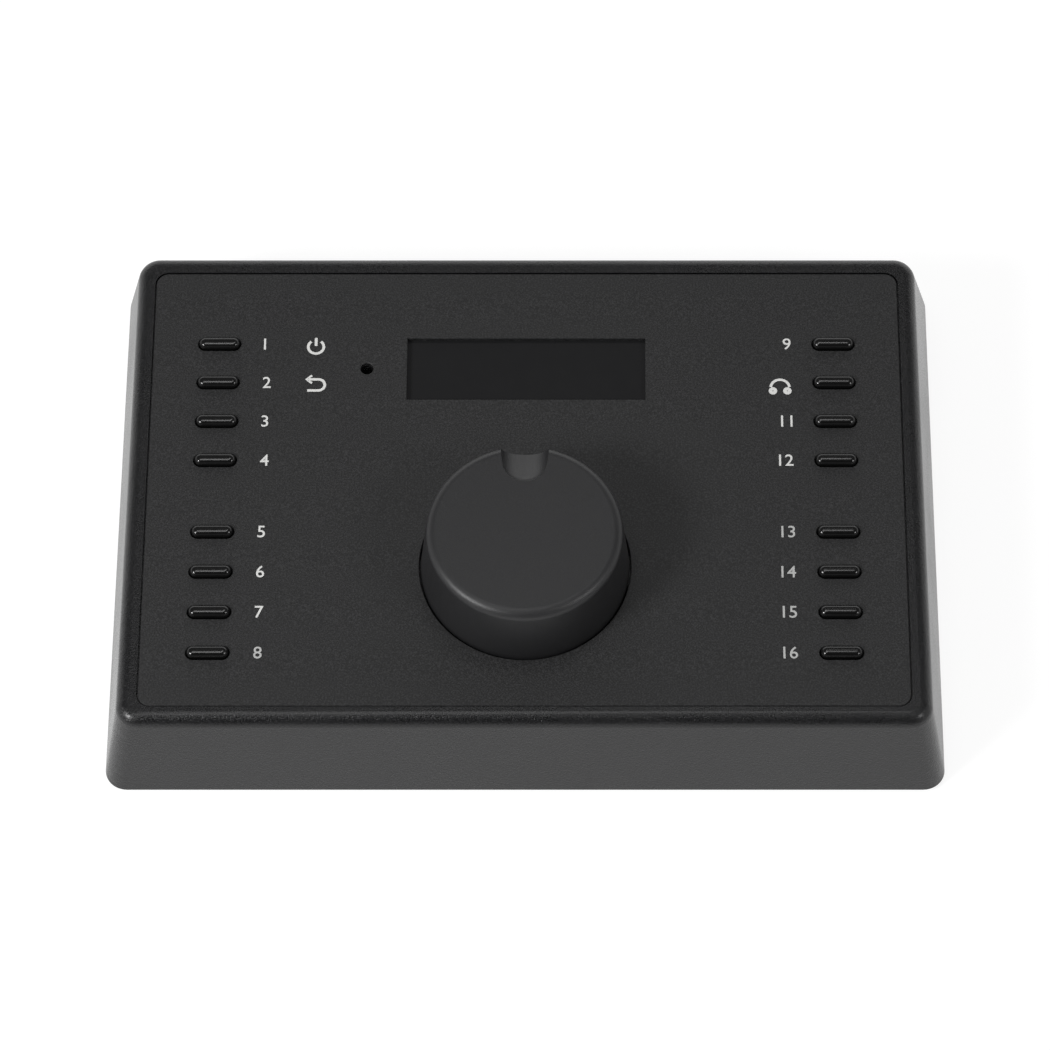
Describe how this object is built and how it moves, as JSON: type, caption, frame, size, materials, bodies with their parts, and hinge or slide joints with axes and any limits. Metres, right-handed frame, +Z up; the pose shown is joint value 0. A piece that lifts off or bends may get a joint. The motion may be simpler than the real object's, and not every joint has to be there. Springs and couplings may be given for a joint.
{
  "type": "studio monitor controller",
  "caption": "Low wedge-shaped desktop monitor controller with a push-and-turn level knob, two columns of press keys, a display window and rear sockets.",
  "frame": {"origin": "middle of the footprint, on the surface that the feet stand on", "axes": "+X to the user's right along the long side, +Y away from the user towards the rear sockets, +Z up"},
  "size_m": [0.185, 0.1314, 0.0439],
  "materials": {
    "housing": "moulded ABS with a coarse spark-eroded grain, near black",
    "front_panel": "fine-textured black paint on aluminium sheet",
    "window": "smoked acrylic",
    "screen": "unlit display glass",
    "board": "green solder resist on glass-fibre laminate",
    "switch": "moulded nylon",
    "plunger": "moulded acetal",
    "screw": "zinc-plated steel",
    "key": "polished black ABS",
    "knob": "soft-touch coat",
    "brass": "turned",
    "spring_steel": "spring steel",
    "encoder": "nickel-plated die-cast",
    "base": "black powder coat on sheet steel",
    "rubber": "matt black rubber",
    "rear_plate": "black paint on aluminium sheet",
    "port_metal": "drawn nickel-plated steel",
    "socket": "moulded black polyamide",
    "capsule": "pressed can"
  },
  "bodies": {
    "chassis": {"housing": "housing", "front_panel": "front_panel", "display_window": "window", "display_screen": "screen", "display_board": "board", "control_board": "board", "key_switches": "switch", "board_screws": "screw", "mic_capsule": "capsule", "mic_boot": "rubber", "encoder_body": "encoder", "encoder_nut": "encoder", "base_plate": "base", "base_screws": "screw", "rubber_feet": "rubber", "io_board": "board", "board_connector": "socket", "rear_plate": "rear_plate", "usb_port": "port_metal", "network_jacks": "socket", "mic_jack": "socket", "headphone_jack": "socket", "headphone_nut": "port_metal"},
    "knob_push": {"encoder_slider": "plunger"},
    "knob": {"encoder_shaft": "spring_steel", "knob_shell": "knob", "knob_insert": "brass", "knob_clip": "spring_steel"},
    "key_left_1": {"key_left_1": "key", "plunger_left_1": "plunger"},
    "key_left_2": {"key_left_2": "key", "plunger_left_2": "plunger"},
    "key_left_3": {"key_left_3": "key", "plunger_left_3": "plunger"},
    "key_left_4": {"key_left_4": "key", "plunger_left_4": "plunger"},
    "key_left_5": {"key_left_5": "key", "plunger_left_5": "plunger"},
    "key_left_6": {"key_left_6": "key", "plunger_left_6": "plunger"},
    "key_left_7": {"key_left_7": "key", "plunger_left_7": "plunger"},
    "key_left_8": {"key_left_8": "key", "plunger_left_8": "plunger"},
    "key_right_1": {"key_right_1": "key", "plunger_right_1": "plunger"},
    "key_right_2": {"key_right_2": "key", "plunger_right_2": "plunger"},
    "key_right_3": {"key_right_3": "key", "plunger_right_3": "plunger"},
    "key_right_4": {"key_right_4": "key", "plunger_right_4": "plunger"},
    "key_right_5": {"key_right_5": "key", "plunger_right_5": "plunger"},
    "key_right_6": {"key_right_6": "key", "plunger_right_6": "plunger"},
    "key_right_7": {"key_right_7": "key", "plunger_right_7": "plunger"},
    "key_right_8": {"key_right_8": "key", "plunger_right_8": "plunger"}
  },
  "joints": [
    {"name": "knob_press", "type": "slide", "parent": "chassis", "child": "knob_push", "axis": [0, 0.0279, -0.9996], "range_m": [0, 0.0005], "stiffness_N_per_m": 1200, "springref_m": -0.0015},
    {"name": "knob_turn", "type": "hinge", "parent": "knob_push", "child": "knob", "pos_m": [0, -0.02338, 0.02687], "axis": [0, -0.0279, 0.9996], "continuous": true},
    {"name": "press_left_1", "type": "slide", "parent": "chassis", "child": "key_left_1", "axis": [0, 0.0279, -0.9996], "range_m": [0, 0.0005], "stiffness_N_per_m": 400, "springref_m": -0.0015},
    {"name": "press_left_2", "type": "slide", "parent": "chassis", "child": "key_left_2", "axis": [0, 0.0279, -0.9996], "range_m": [0, 0.0005], "stiffness_N_per_m": 400, "springref_m": -0.0015},
    {"name": "press_left_3", "type": "slide", "parent": "chassis", "child": "key_left_3", "axis": [0, 0.0279, -0.9996], "range_m": [0, 0.0005], "stiffness_N_per_m": 400, "springref_m": -0.0015},
    {"name": "press_left_4", "type": "slide", "parent": "chassis", "child": "key_left_4", "axis": [0, 0.0279, -0.9996], "range_m": [0, 0.0005], "stiffness_N_per_m": 400, "springref_m": -0.0015},
    {"name": "press_left_5", "type": "slide", "parent": "chassis", "child": "key_left_5", "axis": [0, 0.0279, -0.9996], "range_m": [0, 0.0005], "stiffness_N_per_m": 400, "springref_m": -0.0015},
    {"name": "press_left_6", "type": "slide", "parent": "chassis", "child": "key_left_6", "axis": [0, 0.0279, -0.9996], "range_m": [0, 0.0005], "stiffness_N_per_m": 400, "springref_m": -0.0015},
    {"name": "press_left_7", "type": "slide", "parent": "chassis", "child": "key_left_7", "axis": [0, 0.0279, -0.9996], "range_m": [0, 0.0005], "stiffness_N_per_m": 400, "springref_m": -0.0015},
    {"name": "press_left_8", "type": "slide", "parent": "chassis", "child": "key_left_8", "axis": [0, 0.0279, -0.9996], "range_m": [0, 0.0005], "stiffness_N_per_m": 400, "springref_m": -0.0015},
    {"name": "press_right_1", "type": "slide", "parent": "chassis", "child": "key_right_1", "axis": [0, 0.0279, -0.9996], "range_m": [0, 0.0005], "stiffness_N_per_m": 400, "springref_m": -0.0015},
    {"name": "press_right_2", "type": "slide", "parent": "chassis", "child": "key_right_2", "axis": [0, 0.0279, -0.9996], "range_m": [0, 0.0005], "stiffness_N_per_m": 400, "springref_m": -0.0015},
    {"name": "press_right_3", "type": "slide", "parent": "chassis", "child": "key_right_3", "axis": [0, 0.0279, -0.9996], "range_m": [0, 0.0005], "stiffness_N_per_m": 400, "springref_m": -0.0015},
    {"name": "press_right_4", "type": "slide", "parent": "chassis", "child": "key_right_4", "axis": [0, 0.0279, -0.9996], "range_m": [0, 0.0005], "stiffness_N_per_m": 400, "springref_m": -0.0015},
    {"name": "press_right_5", "type": "slide", "parent": "chassis", "child": "key_right_5", "axis": [0, 0.0279, -0.9996], "range_m": [0, 0.0005], "stiffness_N_per_m": 400, "springref_m": -0.0015},
    {"name": "press_right_6", "type": "slide", "parent": "chassis", "child": "key_right_6", "axis": [0, 0.0279, -0.9996], "range_m": [0, 0.0005], "stiffness_N_per_m": 400, "springref_m": -0.0015},
    {"name": "press_right_7", "type": "slide", "parent": "chassis", "child": "key_right_7", "axis": [0, 0.0279, -0.9996], "range_m": [0, 0.0005], "stiffness_N_per_m": 400, "springref_m": -0.0015},
    {"name": "press_right_8", "type": "slide", "parent": "chassis", "child": "key_right_8", "axis": [0, 0.0279, -0.9996], "range_m": [0, 0.0005], "stiffness_N_per_m": 400, "springref_m": -0.0015}
  ]
}
